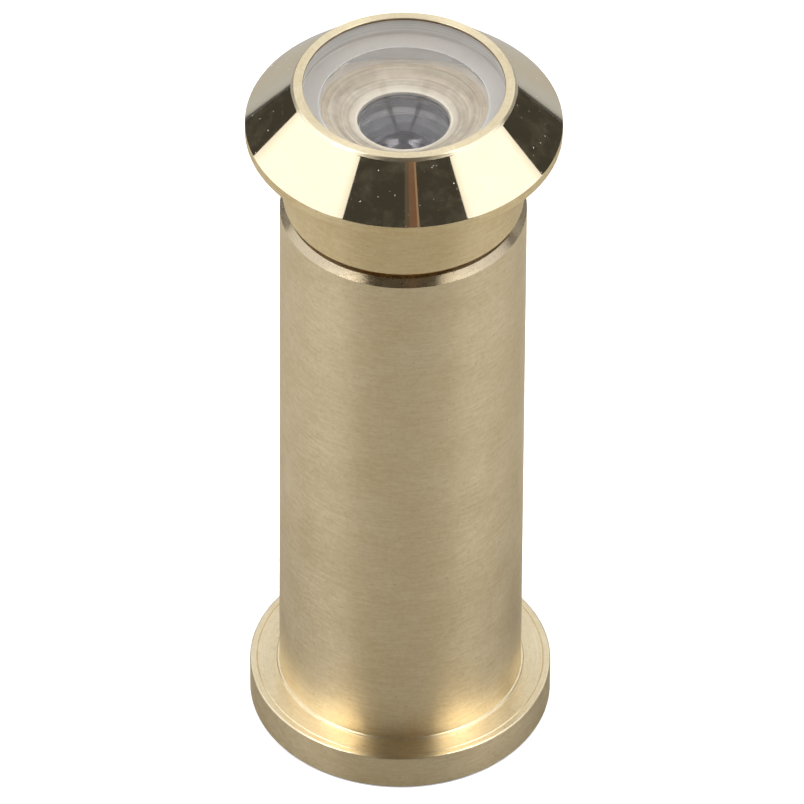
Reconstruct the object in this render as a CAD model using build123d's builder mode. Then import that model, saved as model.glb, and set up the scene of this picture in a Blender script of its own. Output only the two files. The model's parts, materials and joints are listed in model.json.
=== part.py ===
from build123d import *
import os

# A brass door viewer that stands on its interior flange, with the exterior lens on top.
# Millimetres, +Z from the interior face to the exterior lens, all axes on Z.
# It is modelled screwed home, which suits the thinnest door.

# ---- interior half: sleeve and eyepiece ----
SLEEVE_R = 6.05
SLEEVE_TOP = 32.40
SLEEVE_TOP_CHAMFER = 0.33
INNER_FLANGE_R = 7.52
INNER_FLANGE_FACE = 1.97
INNER_EDGE_BREAK = 0.08
INNER_FOOT_CHAMFER = 0.15
RELIEF_R = 5.55
EYE_CUP_R = 4.90
EYE_CUP_DEPTH = 0.70
EYE_WINDOW_R = 3.90
EYE_SHELF = 1.10
EYE_POCKET_R = 5.00
EYE_POCKET_TOP = 5.20
COIN_SLOT_WIDTH = 1.20
COIN_SLOT_LENGTH = 1.50
COIN_SLOT_DEPTH = 0.70

# ---- exterior half: flange, neck and threaded barrel ----
OUTER_FLANGE_R = 7.75
OUTER_FLANGE_UNDER = 36.97
OUTER_FLANGE_EDGE = 0.55
CONE_TOP_R = 5.52
CONE_TOP = 39.76
RIM_BREAK_R = 5.385
RIM_TOP = 39.92
MOUTH_R = 4.93
LIP = 0.13
NECK_R = 5.90
NECK_BOTTOM = 32.78
NECK_CHAMFER = 0.12
UNDERCUT_R = 4.85
UNDERCUT_BOTTOM = 31.90
BARREL_BOTTOM = 6.40
THREAD_END_GAP = 0.20
LENS_POCKET_R = 5.10
LENS_POCKET_FLOOR = 36.20
LENS_BORE_R = 4.20
REAR_BORE_R = 4.47
REAR_BORE_TOP = 28.40

# ---- adjusting thread: one turn moves the barrel by one pitch ----
PITCH = 1.00
BARREL_THREAD_ROOT_R = 4.95
BARREL_THREAD_TIP_R = 5.40
BARREL_THREAD_ROOT_W = 0.75
BARREL_THREAD_TIP_W = 0.20
SLEEVE_THREAD_ROOT_R = 5.50
SLEEVE_THREAD_TIP_R = 5.07
SLEEVE_THREAD_ROOT_W = 0.60
SLEEVE_THREAD_TIP_W = 0.14
SLEEVE_THREAD_BOTTOM = 24.40
SLEEVE_THREAD_TOP = 32.10

# ---- fine thread of both retaining rings ----
RING_PITCH = 0.60
RING_CLEARANCE = 0.05
RING_END_GAP = 0.10
RING_RIDGE = 0.22
RING_RIDGE_ROOT_W = 0.38
RING_RIDGE_TIP_W = 0.10
GROOVE_DEPTH = 0.26
GROOVE_MOUTH_W = 0.52
GROOVE_FLOOR_W = 0.20
SPANNER_SLOT_WIDTH = 0.80
SPANNER_SLOT_DEPTH = 0.60

# ---- optics ----
OBJECTIVE_R = 5.06
OBJECTIVE_EDGE = 2.20
OBJECTIVE_CROWN = 0.10
OBJECTIVE_DISH_R = 4.10
OBJECTIVE_DISH = 0.60
GASKET_T = 0.25
SPACER_FACE_R = 3.65
SPACER_STEP_R = 3.20
SPACER_STEP_TOP = 36.95
SPACER_SEAT_R = 2.40
SPACER_SEAT_TOP = 36.60
INNER_LENS_R = 4.10
SPACER_R = 4.12
SECOND_LENS_FRONT = 35.90
SECOND_LENS_REAR = 34.60
SECOND_LENS_DOME_R = 2.33
SECOND_LENS_SHOULDER = 0.60
SECOND_LENS_DOME = 0.32
SECOND_LENS_DISH_R = 2.90
SECOND_LENS_DISH = 1.20
MIDDLE_SPACER_BORE_R = 3.30
THIRD_LENS_FRONT = 31.00
THIRD_LENS_REAR = 29.90
THIRD_LENS_DOME_R = 3.70
THIRD_LENS_DOME = 0.80
THIRD_LENS_DISH = 0.10
DOME_CLEARANCE = 0.20
RETAINER_T = 1.40
RETAINER_BORE_R = 3.40
BAFFLE_R = 4.45
BAFFLE_BORE_R = 3.50
BAFFLE_BOTTOM = 6.60
BAFFLE_TOP = 28.20
BAFFLE_GROOVES = 6
BAFFLE_GROOVE_DEPTH = 0.35
BAFFLE_GROOVE_WIDTH = 1.20
WASHER_T = 0.25
EYE_LENS_R = 4.95
EYE_LENS_EDGE = 1.25
EYE_LENS_DOME_R = 4.35
EYE_LENS_DOME = 1.10
EYE_LENS_CROWN_R = 3.80
EYE_LENS_CROWN = 0.20
EYE_RETAINER_T = 2.00
EYE_RETAINER_BORE_R = 4.42

# how far a thread's ridge is sunk into its wall
SINK = 0.06

os.makedirs("parts", exist_ok=True)


def save(solid, name):
    """Label one finished piece and write it as its own file."""
    solid.label = name
    export_step(solid, f"parts/{name}.step")


def helical_ridge(wall_r, tip_r, pitch, bottom, top, wall_w, tip_w, phase):
    """A trapezoid ridge wound on a wall, cut flat at both ends and sunk a little into the wall.

    The ridge passes the +X side at heights that differ from phase by whole pitches.
    """
    sunk_r = wall_r - SINK if tip_r > wall_r else wall_r + SINK
    first = bottom - 2 * pitch + (phase - bottom) % pitch
    with BuildPart() as ridge:
        with BuildLine(Plane.XY.offset(first)) as path:
            Helix(pitch=pitch, height=top - first + 2 * pitch, radius=wall_r)
        with BuildSketch(Plane.XZ):
            with BuildLine():
                Polyline(
                    (sunk_r, first - wall_w / 2),
                    (sunk_r, first + wall_w / 2),
                    (tip_r, first + tip_w / 2),
                    (tip_r, first - tip_w / 2),
                    close=True,
                )
            make_face()
        sweep(path=path.line, is_frenet=True)
        with Locations((0, 0, (bottom + top) / 2)):
            Cylinder(OUTER_FLANGE_R, top - bottom, mode=Mode.INTERSECT)
    return ridge.part


def lens(rim_r, front, rear, front_r, front_apex, rear_r, rear_apex, shoulder=0.0):
    """A lens with flat rims, a spherical front and a spherical rear, both centred on the axis.

    With a shoulder, its front rim lies that much lower than the edge of its spherical front.
    """
    rim = [(front_r, front), (rim_r, front - shoulder), (rim_r, rear), (rear_r, rear)]
    if shoulder:
        rim.insert(1, (front_r, front - shoulder))
    with BuildPart() as glass:
        with BuildSketch(Plane.XZ):
            with BuildLine():
                TangentArc((0, front_apex), (front_r, front), tangent=(1, 0))
                Polyline(*rim)
                TangentArc((0, rear_apex), (rear_r, rear), tangent=(1, 0))
                Line((0, rear_apex), (0, front_apex))
            make_face()
        revolve(axis=Axis.Z)
    return glass.part


def turned(*outline):
    """A solid of revolution from its half section, given as (radius, height) points."""
    with BuildPart() as blank:
        with BuildSketch(Plane.XZ):
            with BuildLine():
                Polyline(*outline, close=True)
            make_face()
        revolve(axis=Axis.Z)
    return blank.part


def threaded_ring(outer_r, bore_r, bottom, top, slots_at, phase):
    """A retaining ring with a fine outside thread and two spanner slots in one face."""
    blank = turned((bore_r, bottom), (outer_r, bottom), (outer_r, top), (bore_r, top))
    thread = helical_ridge(
        outer_r, outer_r + RING_RIDGE, RING_PITCH, bottom + RING_END_GAP, top - RING_END_GAP,
        RING_RIDGE_ROOT_W, RING_RIDGE_TIP_W, phase,
    )
    with BuildPart() as ring:
        add(blank)
        add(thread)
        with Locations((0, 0, slots_at)):
            Box(4 * outer_r, SPANNER_SLOT_WIDTH, 2 * SPANNER_SLOT_DEPTH, mode=Mode.SUBTRACT)
    return ring.part


def thread_groove(wall_r, bottom, top, phase):
    """The groove that a retaining ring's thread runs in."""
    return helical_ridge(
        wall_r, wall_r + GROOVE_DEPTH, RING_PITCH, bottom, top,
        GROOVE_MOUTH_W, GROOVE_FLOOR_W, phase,
    )


# ---- heights that follow from the driving dimensions ----
objective_front = RIM_TOP - LIP
objective_rear = objective_front - OBJECTIVE_EDGE
gasket_bottom = objective_rear - GASKET_T
retainer_bottom = THIRD_LENS_REAR - RETAINER_T
washer_top = EYE_SHELF + WASHER_T
eye_lens_top = washer_top + EYE_LENS_EDGE
eye_retainer_top = eye_lens_top + EYE_RETAINER_T

# ---- interior sleeve: flange, long tube, adjusting thread in its mouth, eyepiece pocket ----
sleeve_blank = turned(
    (EYE_CUP_R, 0),
    (INNER_FLANGE_R - INNER_FOOT_CHAMFER, 0),
    (INNER_FLANGE_R, INNER_FOOT_CHAMFER),
    (INNER_FLANGE_R, INNER_FLANGE_FACE - INNER_EDGE_BREAK),
    (INNER_FLANGE_R - INNER_EDGE_BREAK, INNER_FLANGE_FACE),
    (SLEEVE_R, INNER_FLANGE_FACE),
    (SLEEVE_R, SLEEVE_TOP - SLEEVE_TOP_CHAMFER),
    (SLEEVE_R - SLEEVE_TOP_CHAMFER, SLEEVE_TOP),
    (SLEEVE_THREAD_ROOT_R, SLEEVE_TOP),
    (SLEEVE_THREAD_ROOT_R, SLEEVE_THREAD_BOTTOM),
    (RELIEF_R, SLEEVE_THREAD_BOTTOM),
    (RELIEF_R, EYE_POCKET_TOP),
    (EYE_POCKET_R, EYE_POCKET_TOP),
    (EYE_POCKET_R, EYE_SHELF),
    (EYE_WINDOW_R, EYE_SHELF),
    (EYE_WINDOW_R, EYE_CUP_DEPTH),
)
sleeve_thread = helical_ridge(
    SLEEVE_THREAD_ROOT_R, SLEEVE_THREAD_TIP_R, PITCH, SLEEVE_THREAD_BOTTOM, SLEEVE_THREAD_TOP,
    SLEEVE_THREAD_ROOT_W, SLEEVE_THREAD_TIP_W, BARREL_BOTTOM + PITCH / 2,
)
eye_groove = thread_groove(EYE_POCKET_R, eye_lens_top, EYE_POCKET_TOP + SINK, eye_lens_top)
with BuildPart() as interior_sleeve:
    add(sleeve_blank)
    add(sleeve_thread)
    add(eye_groove, mode=Mode.SUBTRACT)
    with PolarLocations((EYE_CUP_R + INNER_FLANGE_R) / 2, 2):
        Box(COIN_SLOT_LENGTH, COIN_SLOT_WIDTH, 2 * COIN_SLOT_DEPTH, mode=Mode.SUBTRACT)
save(interior_sleeve.part, "interior_sleeve")

# ---- eyepiece pieces, from the interior face inwards ----
with BuildPart() as eyepiece_washer:
    with BuildSketch(Plane.XY.offset(EYE_SHELF)):
        Circle(EYE_LENS_R)
        Circle(EYE_WINDOW_R, mode=Mode.SUBTRACT)
    extrude(amount=WASHER_T)
save(eyepiece_washer.part, "eyepiece_washer")

eyepiece_lens = lens(
    EYE_LENS_R, eye_lens_top, washer_top,
    EYE_LENS_DOME_R, eye_lens_top + EYE_LENS_DOME,
    EYE_LENS_CROWN_R, washer_top - EYE_LENS_CROWN,
)
save(eyepiece_lens, "eyepiece_lens")

eyepiece_retaining_ring = threaded_ring(
    EYE_POCKET_R - RING_CLEARANCE, EYE_RETAINER_BORE_R,
    eye_lens_top, eye_retainer_top, eye_retainer_top, eye_lens_top,
)
save(eyepiece_retaining_ring, "eyepiece_retaining_ring")

# ---- exterior barrel: polished cone flange, neck, threaded tube ----
barrel_blank = turned(
    (REAR_BORE_R, BARREL_BOTTOM),
    (BARREL_THREAD_ROOT_R, BARREL_BOTTOM),
    (BARREL_THREAD_ROOT_R, UNDERCUT_BOTTOM),
    (UNDERCUT_R, UNDERCUT_BOTTOM),
    (UNDERCUT_R, NECK_BOTTOM),
    (NECK_R - NECK_CHAMFER, NECK_BOTTOM),
    (NECK_R, NECK_BOTTOM + NECK_CHAMFER),
    (NECK_R, OUTER_FLANGE_UNDER),
    (OUTER_FLANGE_R, OUTER_FLANGE_UNDER),
    (OUTER_FLANGE_R, OUTER_FLANGE_UNDER + OUTER_FLANGE_EDGE),
    (CONE_TOP_R, CONE_TOP),
    (RIM_BREAK_R, RIM_TOP),
    (MOUTH_R, RIM_TOP),
    (MOUTH_R, objective_front),
    (LENS_POCKET_R, objective_front),
    (LENS_POCKET_R, LENS_POCKET_FLOOR),
    (LENS_BORE_R, LENS_POCKET_FLOOR),
    (LENS_BORE_R, REAR_BORE_TOP),
    (REAR_BORE_R, REAR_BORE_TOP),
)
barrel_thread = helical_ridge(
    BARREL_THREAD_ROOT_R, BARREL_THREAD_TIP_R, PITCH,
    BARREL_BOTTOM + THREAD_END_GAP, UNDERCUT_BOTTOM - THREAD_END_GAP,
    BARREL_THREAD_ROOT_W, BARREL_THREAD_TIP_W, BARREL_BOTTOM,
)
retainer_groove = thread_groove(
    LENS_BORE_R, REAR_BORE_TOP - SINK, THIRD_LENS_REAR + SINK, THIRD_LENS_REAR
)
with BuildPart() as exterior_barrel:
    add(barrel_blank)
    add(barrel_thread)
    add(retainer_groove, mode=Mode.SUBTRACT)
save(exterior_barrel.part, "exterior_barrel")

# ---- lens stack, from the front back ----
objective_lens = lens(
    OBJECTIVE_R, objective_front, objective_rear,
    MOUTH_R, objective_front + OBJECTIVE_CROWN,
    OBJECTIVE_DISH_R, objective_rear + OBJECTIVE_DISH,
)
save(objective_lens, "objective_lens")

with BuildPart() as objective_gasket:
    with BuildSketch(Plane.XY.offset(gasket_bottom)):
        Circle(OBJECTIVE_R)
        Circle(OBJECTIVE_DISH_R, mode=Mode.SUBTRACT)
    extrude(amount=GASKET_T)
save(objective_gasket.part, "objective_gasket")

front_spacer = turned(
    (SPACER_SEAT_R, SECOND_LENS_FRONT),
    (SPACER_R, SECOND_LENS_FRONT),
    (SPACER_R, LENS_POCKET_FLOOR),
    (OBJECTIVE_R, LENS_POCKET_FLOOR),
    (OBJECTIVE_R, gasket_bottom),
    (SPACER_FACE_R, gasket_bottom),
    (SPACER_STEP_R, SPACER_STEP_TOP),
    (SPACER_SEAT_R, SPACER_SEAT_TOP),
)
save(front_spacer, "front_spacer")

dome_edge = SECOND_LENS_FRONT + SECOND_LENS_SHOULDER
second_lens = lens(
    INNER_LENS_R, dome_edge, SECOND_LENS_REAR,
    SECOND_LENS_DOME_R, dome_edge + SECOND_LENS_DOME,
    SECOND_LENS_DISH_R, SECOND_LENS_REAR + SECOND_LENS_DISH,
    shoulder=SECOND_LENS_SHOULDER,
)
save(second_lens, "second_lens")

middle_spacer = turned(
    (THIRD_LENS_DOME_R, THIRD_LENS_FRONT),
    (SPACER_R, THIRD_LENS_FRONT),
    (SPACER_R, SECOND_LENS_REAR),
    (MIDDLE_SPACER_BORE_R, SECOND_LENS_REAR),
    (MIDDLE_SPACER_BORE_R, THIRD_LENS_FRONT + THIRD_LENS_DOME + DOME_CLEARANCE),
    (THIRD_LENS_DOME_R, THIRD_LENS_FRONT + THIRD_LENS_DOME + DOME_CLEARANCE),
)
save(middle_spacer, "middle_spacer")

third_lens = lens(
    INNER_LENS_R, THIRD_LENS_FRONT, THIRD_LENS_REAR,
    THIRD_LENS_DOME_R, THIRD_LENS_FRONT + THIRD_LENS_DOME,
    RETAINER_BORE_R, THIRD_LENS_REAR + THIRD_LENS_DISH,
)
save(third_lens, "third_lens")

lens_retaining_ring = threaded_ring(
    LENS_BORE_R - RING_CLEARANCE, RETAINER_BORE_R,
    retainer_bottom, THIRD_LENS_REAR, retainer_bottom, THIRD_LENS_REAR,
)
save(lens_retaining_ring, "lens_retaining_ring")

# ---- light baffle: a blackened liner with glare grooves, pushed in behind the lens stack ----
baffle_groove_step = (BAFFLE_TOP - BAFFLE_BOTTOM) / (BAFFLE_GROOVES + 1)
with BuildPart() as light_baffle:
    with BuildSketch(Plane.XY.offset(BAFFLE_BOTTOM)):
        Circle(BAFFLE_R)
        Circle(BAFFLE_BORE_R, mode=Mode.SUBTRACT)
    extrude(amount=BAFFLE_TOP - BAFFLE_BOTTOM)
    for groove in range(BAFFLE_GROOVES):
        with Locations((0, 0, BAFFLE_BOTTOM + (groove + 1) * baffle_groove_step)):
            Cylinder(
                BAFFLE_BORE_R + BAFFLE_GROOVE_DEPTH, BAFFLE_GROOVE_WIDTH, mode=Mode.SUBTRACT
            )
save(light_baffle.part, "light_baffle")
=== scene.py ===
"""A brass door viewer on its interior flange: camera, studio, and finished pieces round the CAD frame."""

import json
import math

import bmesh
import bpy
from mathutils import Matrix, Vector


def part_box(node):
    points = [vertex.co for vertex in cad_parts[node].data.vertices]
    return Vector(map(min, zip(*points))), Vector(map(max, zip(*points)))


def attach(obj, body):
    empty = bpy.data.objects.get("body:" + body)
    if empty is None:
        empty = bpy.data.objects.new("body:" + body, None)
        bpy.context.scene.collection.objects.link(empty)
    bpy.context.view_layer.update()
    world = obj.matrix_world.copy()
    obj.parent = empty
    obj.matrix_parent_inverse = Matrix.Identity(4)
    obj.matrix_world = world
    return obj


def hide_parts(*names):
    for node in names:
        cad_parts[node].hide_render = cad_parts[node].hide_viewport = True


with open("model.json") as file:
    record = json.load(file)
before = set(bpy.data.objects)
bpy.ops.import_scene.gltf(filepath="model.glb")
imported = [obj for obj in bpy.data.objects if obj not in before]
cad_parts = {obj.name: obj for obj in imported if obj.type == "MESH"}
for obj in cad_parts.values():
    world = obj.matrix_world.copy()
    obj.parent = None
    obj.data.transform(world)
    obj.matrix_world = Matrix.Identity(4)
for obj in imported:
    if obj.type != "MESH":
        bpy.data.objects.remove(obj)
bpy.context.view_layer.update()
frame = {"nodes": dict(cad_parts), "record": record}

MM = 0.001


def node_size(node):
    """(outer radius, lowest height, highest height) of a round CAD node, in millimetres."""
    low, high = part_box(node)
    return high.y / MM, low.z / MM, high.z / MM


mounts = {mount["name"]: mount for mount in frame["record"]["mounts"]}
SLEEVE_R = mounts["sleeve_in_door_hole"]["dims"]["r_mm"]
INNER_FACE = mounts["inner_clamp_face"]["pos_m"][2] / MM
OUTER_FACE = mounts["outer_clamp_face"]["pos_m"][2] / MM
PITCH = 2 * math.pi / frame["record"]["behaviour"]["couplings"][0]["ratio"] / MM


# ---- camera: telephoto from the front, looking down on the exterior lens ----
CAMERA_ELEVATION = 42.21
CAMERA_DISTANCE = 816.9
CAMERA_FOCAL = 740.6
CAMERA_SENSOR = 36
CAMERA_ROLL = 0.40
LOOK_HEIGHT = 19.13


def make_camera():
    elevation = math.radians(CAMERA_ELEVATION)
    target = Vector((0, 0, LOOK_HEIGHT * MM))
    back = Vector((0, -math.cos(elevation), math.sin(elevation)))
    data = bpy.data.cameras.new("camera")
    data.lens = CAMERA_FOCAL
    data.sensor_width = CAMERA_SENSOR
    data.clip_start = 0.01
    data.clip_end = 50
    camera = bpy.data.objects.new("camera", data)
    bpy.context.collection.objects.link(camera)
    turn = back.to_track_quat("Z", "Y").to_matrix().to_4x4()
    roll = Matrix.Rotation(math.radians(CAMERA_ROLL), 4, "Z")
    camera.matrix_world = Matrix.Translation(target + back * CAMERA_DISTANCE * MM) @ turn @ roll
    bpy.context.scene.camera = camera


# ---- mesh building: round profiles, threads, cuts ----
SEGMENTS = 256
FILLET_STEPS = 5
HOLD = 0.02
WELD = 1e-5
SMOOTH_BELOW = math.radians(28)


def corner_arc(before, here, after, fillet):
    """Points of the small arc that rounds one corner of an outline."""
    back = (before - here).normalized()
    ahead = (after - here).normalized()
    half = back.angle(ahead) / 2
    reach = fillet / math.tan(half)
    centre = here + (back + ahead).normalized() * fillet / math.sin(half)
    first = here + back * reach - centre
    last = here + ahead * reach - centre
    sweep = first.angle(last)
    arc = []
    for step in range(FILLET_STEPS + 1):
        share = step / FILLET_STEPS
        point = (first * math.sin((1 - share) * sweep) + last * math.sin(share * sweep)) / math.sin(sweep)
        arc.append(centre + point)
    return arc


def rounded(outline):
    """A closed outline of (radius, height, fillet) corners, with its fillets and holding points."""
    corners = [Vector(corner[:2]) for corner in outline]
    count = len(corners)
    groups = []
    for i, (radius, height, fillet) in enumerate(outline):
        if fillet:
            groups.append(corner_arc(corners[i - 1], corners[i], corners[(i + 1) % count], fillet))
        else:
            groups.append([corners[i]])
    points = []
    for i, group in enumerate(groups):
        points += group
        start, end = group[-1], groups[(i + 1) % count][0]
        if (end - start).length > 6 * HOLD:
            along = (end - start).normalized() * HOLD
            points += [start + along, end - along]
    return points


def add_lathe(work, points):
    """Turn a closed outline of (radius, height) points about Z."""
    rings = []
    for radius, height in points:
        if radius < WELD:
            rings.append([work.verts.new((0, 0, height))] * SEGMENTS)
            continue
        ring = []
        for i in range(SEGMENTS):
            angle = 2 * math.pi * i / SEGMENTS
            ring.append(work.verts.new((radius * math.cos(angle), radius * math.sin(angle), height)))
        rings.append(ring)
    for k, ring in enumerate(rings):
        above = rings[(k + 1) % len(rings)]
        for i in range(SEGMENTS):
            j = (i + 1) % SEGMENTS
            face = []
            for vert in (ring[i], ring[j], above[j], above[i]):
                if vert not in face:
                    face.append(vert)
            if len(face) > 2:
                work.faces.new(face)


THREAD_SEGMENTS = 96
THREAD_SINK = 0.06
THREAD_FADE = 0.35
THREAD_FAINT = 0.02
THREAD_SOFT = 0.03
RIDGE_FOOT = 0.10
RIDGE_CREST = 0.90


def add_thread(work, wall_r, tip_r, bottom, top, wall_w, tip_w, phase):
    """A helical ridge with soft edges that fades into its wall at both ends."""
    sunk_r = wall_r - THREAD_SINK if tip_r > wall_r else wall_r + THREAD_SINK
    section = []
    for side in (1, -1):
        half = [
            (0.0, side * (wall_w / 2 + THREAD_SOFT)),
            (RIDGE_FOOT, side * wall_w / 2),
            (RIDGE_CREST, side * (tip_w / 2 + THREAD_SOFT)),
            (1.0, side * (tip_w / 2 - THREAD_SOFT)),
        ]
        section += half if side > 0 else half[::-1]
    first = bottom + wall_w / 2 + (phase - bottom - wall_w / 2) % PITCH
    turns = (top - wall_w / 2 - first) / PITCH
    previous = None
    for step in range(int(turns * THREAD_SEGMENTS) + 1):
        turned = step / THREAD_SEGMENTS
        angle = 2 * math.pi * turned
        fade = max(THREAD_FAINT, min(1.0, turned / THREAD_FADE, (turns - turned) / THREAD_FADE))
        ring = []
        for out, along in section:
            radius = sunk_r + (tip_r - sunk_r) * out * fade
            height = first + PITCH * turned + along
            ring.append(work.verts.new((radius * math.cos(angle), radius * math.sin(angle), height)))
        if previous:
            for a in range(len(section)):
                b = (a + 1) % len(section)
                work.faces.new((previous[a], previous[b], ring[b], ring[a]))
        else:
            work.faces.new(ring)
        previous = ring
    work.faces.new(previous)


def link_mesh(name, work):
    """Turn a bmesh in millimetres into a mesh object in metres."""
    bmesh.ops.remove_doubles(work, verts=work.verts, dist=WELD)
    bmesh.ops.recalc_face_normals(work, faces=work.faces)
    bmesh.ops.scale(work, vec=(MM, MM, MM), verts=work.verts)
    mesh = bpy.data.meshes.new(name)
    work.to_mesh(mesh)
    work.free()
    piece = bpy.data.objects.new(name, mesh)
    bpy.context.collection.objects.link(piece)
    return piece


def smooth(piece):
    piece.data.shade_smooth()
    piece.data.set_sharp_from_angle(angle=SMOOTH_BELOW)


def turned_piece(name, outline):
    """A smooth round piece from an outline of (radius, height, fillet) corners."""
    work = bmesh.new()
    add_lathe(work, rounded(outline))
    piece = link_mesh(name, work)
    smooth(piece)
    return piece


def cut_boxes(piece, boxes):
    """Cut boxes, given as (centre, size) in millimetres, out of a piece."""
    work = bmesh.new()
    for centre, size in boxes:
        place = Matrix.Translation(centre) @ Matrix.Diagonal((*size, 1))
        bmesh.ops.create_cube(work, size=1, matrix=place)
    cutter = link_mesh("cutter", work)
    cut = piece.modifiers.new("cut", "BOOLEAN")
    cut.object = cutter
    cut.solver = "EXACT"
    carved = bpy.data.meshes.new_from_object(piece.evaluated_get(bpy.context.evaluated_depsgraph_get()))
    piece.modifiers.clear()
    piece.data = carved
    bpy.data.objects.remove(cutter)
    smooth(piece)


def join_thread(piece, **thread):
    """Wind a thread ridge on a piece, in the piece's own mesh."""
    work = bmesh.new()
    add_thread(work, **thread)
    ridge = link_mesh("ridge", work)
    work = bmesh.new()
    work.from_mesh(piece.data)
    work.from_mesh(ridge.data)
    work.to_mesh(piece.data)
    work.free()
    bpy.data.objects.remove(ridge)
    smooth(piece)


# A face gets its material by its place, within NEAR, and by the upward part of its normal.
NEAR = 0.03
UPWARD = 0.3
LEVEL = 0.5
FLAT = 0.8


def paint(piece, *materials, choose=None):
    """Give a piece its materials; choose(radius, height, up) names the material of a face by its number."""
    mesh = piece.data
    mesh.materials.clear()
    for material in materials:
        mesh.materials.append(material)
    if choose:
        for face in mesh.polygons:
            radius = math.hypot(face.center.x, face.center.y) / MM
            face.material_index = choose(radius, face.center.z / MM, face.normal.z)


def finish_piece(piece, node, body):
    """Put a finished piece in its CAD node's place."""
    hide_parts(node)
    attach(piece, body)


# ---- materials ----
class Nodes:
    """A short way to write a material's node tree."""

    def __init__(self, name):
        self.material = bpy.data.materials.new(name)
        self.material.use_nodes = True
        self.tree = self.material.node_tree
        self.shader = self.tree.nodes["Principled BSDF"]

    def add(self, kind, inputs=None, output=0, **settings):
        node = self.tree.nodes.new("ShaderNode" + kind)
        for key, value in settings.items():
            setattr(node, key, value)
        for key, value in (inputs or {}).items():
            self.feed(node.inputs[key], value)
        return node.outputs[output]

    def feed(self, socket, value):
        if isinstance(value, bpy.types.NodeSocket):
            self.tree.links.new(value, socket)
        else:
            socket.default_value = value

    def set(self, **values):
        for key, value in values.items():
            self.feed(self.shader.inputs[key.replace("_", " ")], value)

    def math(self, operation, a, b):
        return self.add("Math", {0: a, 1: b}, operation=operation)

    def place_mm(self):
        """The surface point in the piece's own frame, in millimetres."""
        point = self.add("TexCoord", output=3)
        return self.add("VectorMath", {0: point, "Scale": 1 / MM}, operation="SCALE")

    def height(self):
        return self.add("SeparateXYZ", {0: self.place_mm()}, output=2)

    def radius(self):
        """Distance from the axis, in millimetres."""
        flat = self.add("VectorMath", {0: self.place_mm(), 1: (1, 1, 0)}, operation="MULTIPLY")
        return self.add("VectorMath", {0: flat}, output=1, operation="LENGTH")

    def noise(self, vector, scale=1.0, detail=2.0, rough=0.5):
        return self.add("TexNoise", {"Vector": vector, "Scale": scale, "Detail": detail, "Roughness": rough})

    def rings(self, line, per_mm, spread):
        """Noise stretched round the axis: per_mm lines along line, each about 1 / spread mm long."""
        flat = self.add("VectorMath", {0: self.place_mm(), 1: (spread, spread, 0)}, operation="MULTIPLY")
        lift = self.add("CombineXYZ", {2: self.math("MULTIPLY", line, per_mm)})
        return self.noise(self.add("VectorMath", {0: flat, 1: lift}, operation="ADD"), detail=3, rough=0.6)

    def ramp(self, value, low, high, to_low=0.0, to_high=1.0):
        inputs = {"Value": value, "From Min": low, "From Max": high, "To Min": to_low, "To Max": to_high}
        return self.add("MapRange", inputs)

    def blend(self, *parts):
        """The weighted sum of (value, weight) pairs."""
        total = None
        for value, weight in parts:
            term = self.math("MULTIPLY", value, weight)
            total = term if total is None else self.math("ADD", total, term)
        return total

    def mix(self, share, a, b):
        """A colour between a and b."""
        node = self.tree.nodes.new("ShaderNodeMix")
        node.data_type = "RGBA"
        self.feed(node.inputs["Factor"], share)
        self.feed(node.inputs["A"], a)
        self.feed(node.inputs["B"], b)
        return node.outputs["Result"]

    def bump(self, height, distance, strength):
        return self.add("Bump", {"Height": height, "Distance": distance * MM, "Strength": strength})


def rgb(red, green, blue):
    return (red, green, blue, 1)


BRASS_PALE = rgb(0.95, 0.805, 0.535)
BRASS_DEEP = rgb(0.79, 0.625, 0.355)
# Yellower brass for the neck and barrel: painted reflection of the brass round the neck, in the flange's
# shade.
NECK_PAINTED_REFLECTION_PALE = rgb(0.97, 0.80, 0.47)
NECK_PAINTED_REFLECTION_DEEP = rgb(0.81, 0.62, 0.31)
# Paler brass for the inner flange's face than for the sleeve: painted light on its upward face.
FACE_PAINTED_LIGHT_PALE = rgb(0.96, 0.84, 0.59)
FACE_PAINTED_LIGHT_DEEP = rgb(0.82, 0.68, 0.44)
# Paler brass for the rim than for the sleeve: painted light on its upward face.
RIM_PAINTED_LIGHT_PALE = rgb(1.0, 0.88, 0.62)
RIM_PAINTED_LIGHT_DEEP = rgb(0.88, 0.735, 0.475)
# Dark brass for the sleeve's top chamfer: painted shade from the flange above it.
EDGE_PAINTED_SHADE_PALE = rgb(0.63, 0.525, 0.35)
EDGE_PAINTED_SHADE_DEEP = rgb(0.50, 0.40, 0.25)
POLISH_PALE = rgb(0.89, 0.77, 0.52)
POLISH_DEEP = rgb(0.85, 0.71, 0.44)
CELL_PALE = rgb(0.75, 0.66, 0.52)
CELL_DEEP = rgb(0.50, 0.41, 0.30)
CELL_SEAT = rgb(0.88, 0.80, 0.67)
GROUND_LIGHT = rgb(1.0, 0.985, 0.95)
GROUND_DARK = rgb(0.71, 0.66, 0.60)
DUST = rgb(0.85, 0.83, 0.76)
# Darkest table grey, under and round the object: painted shade.
TABLE_PAINTED_SHADE = rgb(0.243, 0.237, 0.223)
TABLE_ROUND = rgb(0.32, 0.31, 0.293)
TABLE_FAR = rgb(0.325, 0.347, 0.411)


def polished_brass():
    """Mirror-polished cone with smears of polish and specks of dust."""
    m = Nodes("polished_brass")
    haze = m.noise(m.place_mm(), scale=0.6, detail=3)
    specks = m.noise(m.place_mm(), scale=5.5, detail=1, rough=0.5)
    dust = m.ramp(specks, 0.735, 0.80)
    smear = m.ramp(m.noise(m.place_mm(), scale=0.8, detail=6, rough=0.7), 0.48, 0.78)
    m.set(Base_Color=m.mix(dust, m.mix(haze, POLISH_PALE, POLISH_DEEP), DUST))
    m.set(Metallic=m.math("SUBTRACT", 1.0, m.blend((dust, 0.6), (smear, 0.05))))
    m.set(Roughness=m.blend((m.ramp(haze, 0.3, 0.7, 0.015, 0.045), 1.0), (dust, 0.35), (smear, 0.03)))
    return m.material


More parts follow.
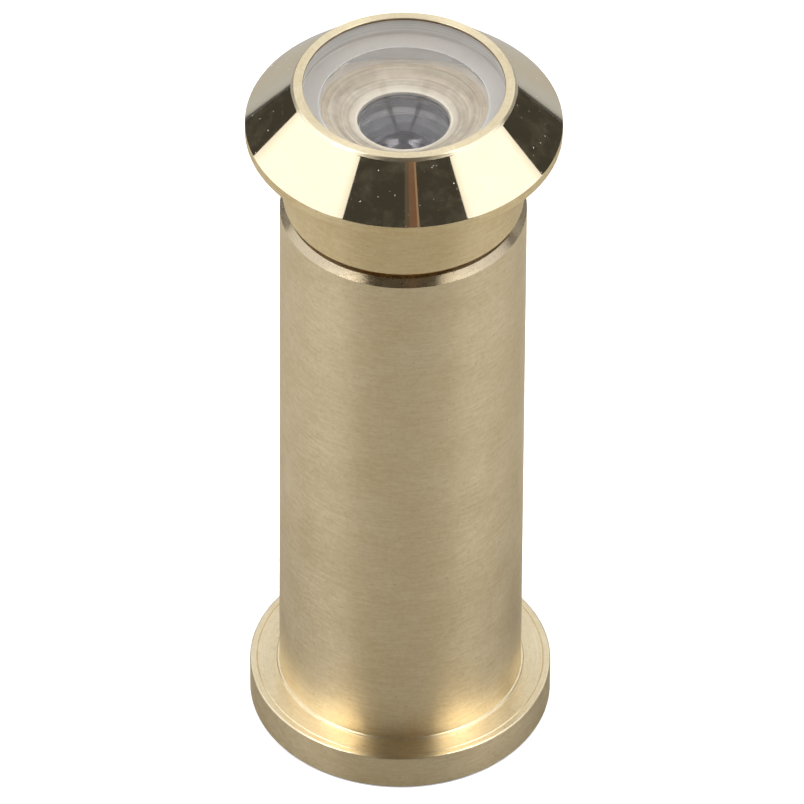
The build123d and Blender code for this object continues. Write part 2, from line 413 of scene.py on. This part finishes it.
def turned_brass(
    name, roughness, across, fan=0.85, pale=BRASS_PALE, deep=BRASS_DEEP, contrast=1.0, grain=0.7, pitted=True,
):
    """Satin brass, turned on a lathe: fine lines run round the axis and spread its shine across them.

    across is what changes from line to line: "radius" on a face, "height" on a tube. fan is how far the
    shine spreads, contrast how much the lines differ in colour, and grain how rough they feel.
    """
    m = Nodes(name)
    line = m.radius() if across == "radius" else m.height()
    fine = m.rings(line, 22.0, 0.35)
    streaks = m.rings(line, 6.0, 1.6)
    mottle = m.noise(m.place_mm(), scale=4.5, detail=4, rough=0.8)
    cloud = m.noise(m.place_mm(), scale=0.35, detail=2)
    tone = m.blend((fine, 0.30), (streaks, 0.30), (mottle, 0.40))
    patch = m.blend((tone, 0.8), (cloud, 0.2))
    share = m.ramp(patch, 0.5 - 0.10 / contrast, 0.5 + 0.10 / contrast)
    if pitted:
        pit = m.add("TexVoronoi", {"Vector": m.place_mm(), "Scale": 1.3})
        share = m.math("SUBTRACT", share, m.ramp(pit, 0.10, 0.05))
    m.set(Base_Color=m.mix(share, deep, pale), Metallic=1.0)
    m.set(Roughness=m.ramp(patch, 0.3, 0.7, roughness - 0.06, roughness + 0.06))
    m.set(Anisotropic=fan, Anisotropic_Rotation=0.25)
    m.set(Tangent=m.add("Tangent", direction_type="RADIAL", axis="Z"))
    m.set(Normal=m.bump(tone, 0.012, grain))
    return m.material


def dull_brass(name):
    """Tarnished brass inside the lens cell, with the tool's rings still faintly in it, palest at its seat."""
    m = Nodes(name)
    lines = m.blend((m.rings(m.radius(), 5.0, 0.05), 0.7), (m.noise(m.place_mm(), scale=2.0, detail=3), 0.3))
    tone = m.mix(m.ramp(lines, 0.40, 0.60), CELL_DEEP, CELL_PALE)
    m.set(Base_Color=m.mix(m.ramp(m.radius(), 2.80, 2.50), tone, CELL_SEAT), Metallic=0.15, Roughness=0.6)
    m.set(Normal=m.bump(lines, 0.02, 0.5))
    return m.material


def clear_glass(name, ior, tint, clear=1.0):
    """Polished lens glass; less than fully clear where its coating is milky."""
    m = Nodes(name)
    m.set(Base_Color=tint, Transmission_Weight=clear, IOR=ior, Roughness=0.0)
    return m.material


def ground_glass(name, front):
    """The matt ground edge of a lens, with the wheel's fine lines round it; its paler tone near the front is
    painted light.
    """
    m = Nodes(name)
    wide = m.rings(m.height(), 2.2, 0.02)
    fine = m.rings(m.height(), 8.0, 0.02)
    lines = m.blend((wide, 0.5), (fine, 0.5))
    # A quarter of the tone grows paler towards the front: painted light where light enters the lens.
    share = m.blend((m.ramp(lines, 0.44, 0.55), 0.75), (m.ramp(m.height(), front - 2.0, front - 0.4), 0.25))
    m.set(Base_Color=m.mix(share, GROUND_DARK, GROUND_LIGHT), Roughness=0.8)
    m.set(Normal=m.bump(lines, 0.02, 0.5))
    return m.material


def matt(name, low, high, roughness, scale=2.0):
    """Rubber, moulded plastic or any other matt surface, with a faint mottle."""
    m = Nodes(name)
    grain = m.noise(m.place_mm(), scale=scale, detail=4, rough=0.6)
    m.set(Base_Color=m.mix(grain, low, high))
    m.set(Roughness=m.ramp(grain, 0.2, 0.8, roughness - 0.08, roughness + 0.08))
    m.set(Normal=m.bump(grain, 0.01, 0.5))
    return m.material


# ---- studio: white floor, grey table for reflections, and light panels that the camera can't see ----
# Lengths are in metres here. The pairs are in degrees, from and to: azimuths are measured from the camera's
# side towards +X, and a RISE is a pair of elevations.
PANEL_DISTANCE = 1.10
FLOOR_SIZE = 12.0
TABLE_GAP = 0.00002
GLOW_BORDER = 0.12
SOFTBOX_LEFT = (-45.5, -117.0)
SOFTBOX_RIGHT = (48.2, 104.5)
SOFTBOX_RISE = (3, 52)
BACK_MIDDLE = (171.5, 188.5)
BACK_LEFT = (192, 243)
BACK_RIGHT = (117, 168)
BACK_SIDE_FOOT = 22
HIGH_SPAN = (48, 104)
HIGH_RISE = (55, 67)
TOP_RISE = (67, 79)
CARD_RISE = (28, 62)
SOFTBOX_GLOW = 1.47
BACK_GLOW = 1.18
HIGH_GLOW = 10.0
TOP_GLOW = 22.0
ROOM_GLOW = 0.055
STRIP_GLOW = 0.19


def emitter(name, colour, strength, edge=0.0):
    """A lamp's face; edge is the share of its glow that is lost at its border."""
    m = Nodes(name)
    across = m.add("SeparateXYZ", {0: m.add("TexCoord", output=2)})
    upward = across.node.outputs[1]
    inside = m.math("MINIMUM", m.math("PINGPONG", across, 0.5), m.math("PINGPONG", upward, 0.5))
    light = m.tree.nodes.new("ShaderNodeEmission")
    light.inputs["Color"].default_value = colour
    m.feed(light.inputs["Strength"], m.ramp(inside, 0.0, GLOW_BORDER, strength * (1 - edge), strength))
    m.tree.links.new(light.outputs[0], m.tree.nodes["Material Output"].inputs["Surface"])
    m.tree.nodes.remove(m.shader)
    return m.material


def quad(name, corners, material):
    mesh = bpy.data.meshes.new(name)
    mesh.from_pydata(corners, [], [(0, 1, 2, 3)])
    mesh.materials.append(material)
    unwrap = mesh.uv_layers.new(name="UVMap")
    for loop, place in zip(unwrap.data, ((0, 0), (1, 0), (1, 1), (0, 1))):
        loop.uv = place
    panel = bpy.data.objects.new(name, mesh)
    bpy.context.collection.objects.link(panel)
    return panel


def wall_panel(name, span, rise, material):
    """An upright panel from one azimuth to another and from one elevation to another."""
    (start, end), (low, high) = span, rise
    corners = []
    for azimuth, elevation in ((start, low), (end, low), (end, high), (start, high)):
        a = math.radians(azimuth)
        height = PANEL_DISTANCE * math.tan(math.radians(elevation))
        corners.append((PANEL_DISTANCE * math.sin(a), -PANEL_DISTANCE * math.cos(a), height))
    panel = quad(name, corners, material)
    panel.visible_camera = False
    return panel


def ground_plane(name, size, height, material):
    half = size / 2
    corners = [(x * half, y * half, height) for x, y in ((-1, -1), (1, -1), (1, 1), (-1, 1))]
    return quad(name, corners, material)


def table_material():
    """Grey table top, darker near the object as painted shade, and paler and cooler away from it."""
    m = Nodes("table_grey")
    # Darker grey close to the object is painted shade.
    near = m.mix(m.ramp(m.radius(), 9.0, 26.0), TABLE_PAINTED_SHADE, TABLE_ROUND)
    top = m.mix(m.ramp(m.radius(), 60.0, 320.0), near, TABLE_FAR)
    m.set(Base_Color=top, Roughness=1.0, Specular_IOR_Level=0.0)
    return m.material


def floor_material():
    """White paper, bright enough to fade out round the object."""
    m = Nodes("floor_paper")
    m.set(Base_Color=rgb(0.90, 0.90, 0.90), Roughness=1.0, Specular_IOR_Level=0.0)
    m.set(Emission_Color=rgb(1, 1, 1), Emission_Strength=0.30)
    return m.material


def side_softboxes():
    """The pale bands down the tube's sides and the bright fields of the cone."""
    glow = emitter("softbox", rgb(0.95, 0.985, 1.10), SOFTBOX_GLOW, 0.25)
    wall_panel("softbox_left", SOFTBOX_LEFT, SOFTBOX_RISE, glow)
    wall_panel("softbox_right", SOFTBOX_RIGHT, SOFTBOX_RISE, glow)


def back_lights():
    """Three columns of light behind the object, whose gaps show as dark lines in the second lens."""
    for row, low, high, share in (("low", 12, 36, 1.2), ("mid", 36, 43, 0.75), ("high", 43, 62, 0.95)):
        glow = emitter("back_light_" + row, rgb(0.98, 0.99, 1.0), share * BACK_GLOW, 0.2)
        side_rise = (max(low, BACK_SIDE_FOOT), high)
        wall_panel("back_middle_" + row, BACK_MIDDLE, (low, high), glow)
        wall_panel("back_left_" + row, BACK_LEFT, side_rise, glow)
        wall_panel("back_right_" + row, BACK_RIGHT, side_rise, glow)


def high_lights():
    """Light from high up on both sides; the brass doesn't mirror the top panels."""
    high_light = emitter("high_light", rgb(1.0, 0.99, 0.97), HIGH_GLOW, 0.2)
    top_light = emitter("top_light", rgb(1.0, 0.99, 0.97), TOP_GLOW, 0.9)
    for side, sign in (("left", -1), ("right", 1)):
        span = [sign * azimuth for azimuth in HIGH_SPAN]
        wall_panel("high_" + side, span, HIGH_RISE, high_light)
        wall_panel("top_" + side, span, TOP_RISE, top_light).visible_glossy = False


def reflection_cards():
    """Narrow warm cards on the camera's side, seen as a reddish stripe in the dark front of the cone."""
    for name, span, colour, share in (
        ("dim", (1.4, 5.0), rgb(1.0, 0.86, 0.78), 0.6),
        ("warm", (5.0, 11.0), rgb(1.0, 0.60, 0.46), 1.0),
        ("pale", (11.0, 12.6), rgb(1.0, 0.70, 0.52), 1.9),
    ):
        wall_panel(name + "_strip", span, CARD_RISE, emitter(name + "_card", colour, share * STRIP_GLOW))


def floor_and_table():
    """The camera sees only the white floor, and the object mirrors only the grey table under it."""
    floor = ground_plane("floor", FLOOR_SIZE, -TABLE_GAP, floor_material())
    floor.visible_glossy = False
    floor.visible_diffuse = False
    floor.visible_transmission = False
    floor.visible_shadow = False
    ground_plane("table", FLOOR_SIZE, -2 * TABLE_GAP, table_material()).visible_camera = False


def make_room():
    world = bpy.data.worlds.new("room")
    world.use_nodes = True
    background = world.node_tree.nodes["Background"]
    background.inputs["Color"].default_value = rgb(1.0, 0.98, 0.95)
    background.inputs["Strength"].default_value = ROOM_GLOW
    bpy.context.scene.world = world


def render_settings():
    scene = bpy.context.scene
    scene.view_settings.view_transform = "Standard"
    scene.view_settings.look = "None"
    scene.cycles.use_denoising = True
    scene.cycles.max_bounces = 24
    scene.cycles.glossy_bounces = 12
    scene.cycles.transmission_bounces = 20
    scene.cycles.transparent_max_bounces = 16
    scene.cycles.sample_clamp_indirect = 12


# ---- exterior half ----
CONE_TOP_R = 5.52
RIM_BREAK_R = 5.385
MOUTH_R = 4.93
LIP = 0.13
CONE_TOP_DROP = 0.16
FLANGE_EDGE = 0.55
NECK_R = 5.90
NECK_DROP = 7.14
UNDERCUT_R = 4.85
UNDERCUT_H = 0.88
BARREL_ROOT_R = 4.95
BARREL_TIP_R = 5.40
BARREL_BORE_R = 4.47
LENS_BORE_R = 4.20
STEP_DROP = 11.52
BARREL_RIDGE_W = 0.75
BARREL_CREST_W = 0.20
THREAD_END_GAP = 0.20
POCKET_CLEARANCE = 0.04
SPACER_FOOT = 0.30


def exterior_barrel():
    """Cone flange, neck and threaded barrel."""
    flange_r, bottom, rim = node_size("exterior_barrel")
    edge = OUTER_FACE + FLANGE_EDGE
    cone_top = rim - CONE_TOP_DROP
    neck_bottom = rim - NECK_DROP
    pocket_r = node_size("objective_lens")[0] + POCKET_CLEARANCE
    pocket_floor = node_size("front_spacer")[1] + SPACER_FOOT
    outline = [
        (BARREL_BORE_R, bottom, 0.04),
        (BARREL_ROOT_R, bottom, 0.12),
        (BARREL_ROOT_R, neck_bottom - UNDERCUT_H, 0),
        (UNDERCUT_R, neck_bottom - UNDERCUT_H, 0),
        (UNDERCUT_R, neck_bottom, 0.03),
        (NECK_R, neck_bottom, 0.10),
        (NECK_R, OUTER_FACE, 0.05),
        (flange_r, OUTER_FACE, 0.05),
        (flange_r, edge, 0.03),
        (CONE_TOP_R, cone_top, 0.05),
        (RIM_BREAK_R, rim, 0.05),
        (MOUTH_R, rim, 0.04),
        (MOUTH_R, rim - LIP, 0.02),
        (pocket_r, rim - LIP, 0),
        (pocket_r, pocket_floor, 0),
        (LENS_BORE_R, pocket_floor, 0),
        (LENS_BORE_R, rim - STEP_DROP, 0),
        (BARREL_BORE_R, rim - STEP_DROP, 0),
    ]
    piece = turned_piece("viewer_barrel", outline)
    join_thread(
        piece, wall_r=BARREL_ROOT_R, tip_r=BARREL_TIP_R,
        bottom=bottom + THREAD_END_GAP, top=neck_bottom - UNDERCUT_H - THREAD_END_GAP,
        wall_w=BARREL_RIDGE_W, tip_w=BARREL_CREST_W, phase=bottom,
    )

    def surface(radius, height, up):
        if height > edge - NEAR and radius > CONE_TOP_R - NEAR and up > UPWARD:
            return 1
        # The lip's inner wall gets a dark brown: painted shadow between the rim and the lens.
        if height > rim - LIP - NEAR and radius < MOUTH_R + NEAR and up < FLAT:
            return 3
        return 2 if height > cone_top - NEAR else 0

    paint(
        piece,
        # The neck's yellower brass is painted reflection.
        turned_brass("satin_brass_barrel_painted_reflection", 0.37, "height", pale=NECK_PAINTED_REFLECTION_PALE, deep=NECK_PAINTED_REFLECTION_DEEP),
        polished_brass(),
        # The rim's paler brass is painted light.
        turned_brass("satin_brass_rim_painted_light", 0.32, "radius", 0.8, RIM_PAINTED_LIGHT_PALE, RIM_PAINTED_LIGHT_DEEP, contrast=1.3, grain=0.25),
        # Dark brown on the lip wall is painted shadow, not the brass's own colour.
        matt("painted_shadow_lip", rgb(0.16, 0.10, 0.05), rgb(0.26, 0.17, 0.09), 0.5),
        choose=surface,
    )
    finish_piece(piece, "exterior_barrel", "outer_half")


# ---- interior half ----
TOP_CHAMFER = 0.33
FOOT_FILLET = 0.14
FACE_EDGE = 0.08
FACE_LINE_R = 7.165
FACE_LINE = 0.035
BASE_RING_R = 6.19
BASE_RING_H = 0.09
BASE_RING_DRAFT = 0.04
BASE_RING_BREAK = 0.02
SLEEVE_THREAD_ROOT_R = 5.50
SLEEVE_THREAD_TIP_R = 5.07
SLEEVE_THREAD_H = 8.0
SLEEVE_THREAD_START = 0.30
SLEEVE_RIDGE_W = 0.60
SLEEVE_CREST_W = 0.14
RELIEF_R = 5.55
EYE_CLEARANCE = 0.05
EYE_POCKET_TOP = 5.20
EYE_SHELF = 1.10
EYE_CUP_R = 4.90
EYE_CUP_DEPTH = 0.70
EYE_WINDOW_R = 3.90
COIN_SLOT = (1.50, 1.20, 1.40)


def interior_sleeve():
    """Interior flange and long satin sleeve."""
    flange_r, bottom, top = node_size("interior_sleeve")
    eye_pocket_r = node_size("eyepiece_lens")[0] + EYE_CLEARANCE
    outline = [
        (EYE_CUP_R, bottom, 0.05),
        (flange_r, bottom, FOOT_FILLET),
        (flange_r, INNER_FACE, FACE_EDGE),
        (FACE_LINE_R + FACE_LINE, INNER_FACE, 0),
        (FACE_LINE_R, INNER_FACE - FACE_LINE, 0),
        (FACE_LINE_R - FACE_LINE, INNER_FACE, 0),
        (BASE_RING_R, INNER_FACE, 0.02),
        (BASE_RING_R - BASE_RING_DRAFT, INNER_FACE + BASE_RING_H - BASE_RING_BREAK, 0.03),
        (SLEEVE_R, INNER_FACE + BASE_RING_H, 0.02),
        (SLEEVE_R, top - TOP_CHAMFER, 0.02),
        (SLEEVE_R - TOP_CHAMFER, top, 0.03),
        (SLEEVE_THREAD_ROOT_R, top, 0.02),
        (SLEEVE_THREAD_ROOT_R, top - SLEEVE_THREAD_H, 0),
        (RELIEF_R, top - SLEEVE_THREAD_H, 0),
        (RELIEF_R, EYE_POCKET_TOP, 0),
        (eye_pocket_r, EYE_POCKET_TOP, 0),
        (eye_pocket_r, EYE_SHELF, 0),
        (EYE_WINDOW_R, EYE_SHELF, 0),
        (EYE_WINDOW_R, EYE_CUP_DEPTH, 0.03),
        (EYE_CUP_R, EYE_CUP_DEPTH, 0),
    ]
    piece = turned_piece("viewer_sleeve", outline)
    middle = (EYE_CUP_R + flange_r) / 2
    cut_boxes(piece, [((side * middle, 0, 0), COIN_SLOT) for side in (1, -1)])
    join_thread(
        piece, wall_r=SLEEVE_THREAD_ROOT_R, tip_r=SLEEVE_THREAD_TIP_R,
        bottom=top - SLEEVE_THREAD_H, top=top - SLEEVE_THREAD_START,
        wall_w=SLEEVE_RIDGE_W, tip_w=SLEEVE_CREST_W, phase=node_size("exterior_barrel")[1] + PITCH / 2,
    )

    def surface(radius, height, up):
        if abs(up) > LEVEL and height < INNER_FACE + BASE_RING_H + NEAR:
            return 1
        # The top chamfer gets the darker brass, painted shade.
        return 2 if height > top - TOP_CHAMFER and up > UPWARD else 0

    paint(
        piece,
        turned_brass("satin_brass_sleeve", 0.38, "height"),
        # The face's paler brass is painted light.
        turned_brass("satin_brass_face_painted_light", 0.30, "radius", 0.88, FACE_PAINTED_LIGHT_PALE, FACE_PAINTED_LIGHT_DEEP, grain=0.15),
        # The chamfer's dark brass is painted shade.
        turned_brass(
            "turned_brass_edge_painted_shade", 0.28, "radius", 1.0, EDGE_PAINTED_SHADE_PALE, EDGE_PAINTED_SHADE_DEEP,
            contrast=0.7, grain=0.3, pitted=False,
        ),
        choose=surface,
    )
    finish_piece(piece, "interior_sleeve", "inner_half")


# ---- lenses ----
ARC_STEPS = 28
LENS_FACET = 0.05
LENS_BEVEL = 0.07
LENS_LIFT = 0.01
OBJECTIVE_DOME = 0.10
OBJECTIVE_DISH_R = 4.10
OBJECTIVE_DISH = 0.60
SECOND_DOME_R = 2.33
SECOND_DOME = 0.32
SECOND_SHOULDER = 0.60
SECOND_DISH_R = 2.90
SECOND_DISH = 1.20
THIRD_DOME_R = 3.70
THIRD_DOME = 0.80
THIRD_DISH_R = 3.40
THIRD_DISH = 0.10
EYE_DOME_R = 4.35
EYE_DOME = 1.10
EYE_BACK_R = 3.80
EYE_BACK_BULGE = 0.20


def cap(base_r, base, apex):
    """Half section of a spherical cap, from its apex out to its base."""
    rise = apex - base
    if abs(rise) < WELD:
        return [(0.0, base), (base_r, base)]
    radius = (base_r ** 2 + rise ** 2) / (2 * rise)
    edge_angle = math.asin(base_r / abs(radius))
    arc = []
    for step in range(ARC_STEPS + 1):
        angle = edge_angle * step / ARC_STEPS
        arc.append((abs(radius) * math.sin(angle), apex - radius * (1 - math.cos(angle))))
    return arc


def lens_piece(name, node, body, glass, front_r, dome, rear_r, rear_rise, shoulder=0.0):
    """A lens with ground edge and rims; its two polished faces are spherical caps.

    dome is how high the front cap rises, and shoulder is how far the rim lies below that cap's edge.
    """
    rim_r, rear, front_apex = node_size(node)
    front = front_apex - dome
    rear_apex = rear + rear_rise
    if rear_rise < 0:
        rear, rear_apex = rear - rear_rise, rear
    rear += LENS_LIFT
    rim_top = front - shoulder
    rim = [
        (front_r, rim_top), (rim_r - LENS_FACET, rim_top), (rim_r, rim_top - LENS_FACET),
        (rim_r, rear + LENS_FACET), (rim_r - LENS_FACET, rear), (rear_r + LENS_BEVEL, rear),
    ]
    back = cap(rear_r, rear + LENS_BEVEL / 2, rear_apex)[::-1]
    work = bmesh.new()
    add_lathe(work, cap(front_r, front, front_apex) + rim[not shoulder:] + back)
    piece = link_mesh(name, work)
    smooth(piece)

    def surface(radius, height, up):
        if up < -UPWARD and rear_r < radius < rear_r + LENS_BEVEL and height < rear + LENS_BEVEL:
            return 2
        return 1 if radius > front_r + NEAR or (up < -FLAT and radius > rear_r) else 0

    bevel = matt("bevel_" + name, rgb(0.90, 0.89, 0.87), rgb(0.98, 0.97, 0.95), 0.5)
    paint(piece, glass, ground_glass("ground_" + name, front), bevel, choose=surface)
    finish_piece(piece, node, body)


def lenses():
    crown = clear_glass("crown_glass", 1.52, rgb(0.985, 0.99, 0.985))
    coated = clear_glass("coated_glass", 1.62, rgb(0.64, 0.60, 0.66), 0.90)
    lens_piece(
        "objective", "objective_lens", "lens_train", crown,
        front_r=MOUTH_R, dome=OBJECTIVE_DOME, rear_r=OBJECTIVE_DISH_R, rear_rise=OBJECTIVE_DISH,
    )
    lens_piece(
        "second_element", "second_lens", "lens_train", coated,
        front_r=SECOND_DOME_R, dome=SECOND_DOME, rear_r=SECOND_DISH_R, rear_rise=SECOND_DISH,
        shoulder=SECOND_SHOULDER,
    )
    lens_piece(
        "third_element", "third_lens", "lens_train", crown,
        front_r=THIRD_DOME_R, dome=THIRD_DOME, rear_r=THIRD_DISH_R, rear_rise=THIRD_DISH,
    )
    lens_piece(
        "eyepiece", "eyepiece_lens", "inner_half", crown,
        front_r=EYE_DOME_R, dome=EYE_DOME, rear_r=EYE_BACK_R, rear_rise=-EYE_BACK_BULGE,
    )


# ---- small pieces ----
SPACER_BORE_R = 2.40
SPACER_LAND_R = 2.52
SPACER_LAND_DROP = 0.70
SPACER_STEP_R = 3.20
SPACER_STEP_DROP = 0.39
SPACER_BEAD_W = 0.02
SPACER_BEAD_H = 0.04
SPACER_FACE_R = 3.65
SPACER_FOOT_R = 4.12


def front_spacer():
    """Brass funnel round the second lens."""
    rim_r, bottom, top = node_size("front_spacer")
    step = top - SPACER_STEP_DROP
    land = top - SPACER_LAND_DROP
    outline = [
        (SPACER_BORE_R, bottom, 0.02),
        (SPACER_FOOT_R, bottom, 0),
        (SPACER_FOOT_R, bottom + SPACER_FOOT, 0),
        (rim_r, bottom + SPACER_FOOT, 0),
        (rim_r, top, 0),
        (SPACER_FACE_R, top, 0.04),
        (SPACER_STEP_R, step, 0.03),
        (SPACER_STEP_R - SPACER_BEAD_W, step + SPACER_BEAD_H, 0.02),
        (SPACER_LAND_R, land, 0.02),
        (SPACER_BORE_R, land, 0.05),
    ]
    piece = turned_piece("front_cell", outline)
    paint(piece, dull_brass("cell_brass"))
    finish_piece(piece, "front_spacer", "lens_train")


def carried_nodes():
    """CAD nodes that keep their own shape and get a finished material."""
    black = matt("black_plastic", rgb(0.012, 0.012, 0.012), rgb(0.03, 0.03, 0.03), 0.6)
    rubber = matt("gasket_rubber", rgb(0.93, 0.86, 0.77), rgb(0.98, 0.93, 0.86), 0.75, 3.0)
    ring = turned_brass("ring_brass", 0.34, "radius")
    for node, material in (
        ("objective_gasket", rubber),
        ("middle_spacer", black),
        ("light_baffle", black),
        ("eyepiece_washer", black),
        ("lens_retaining_ring", ring),
        ("eyepiece_retaining_ring", ring),
    ):
        paint(frame["nodes"][node], material)


make_camera()
make_room()
side_softboxes()
back_lights()
high_lights()
reflection_cards()
floor_and_table()
render_settings()
exterior_barrel()
interior_sleeve()
lenses()
front_spacer()
carried_nodes()
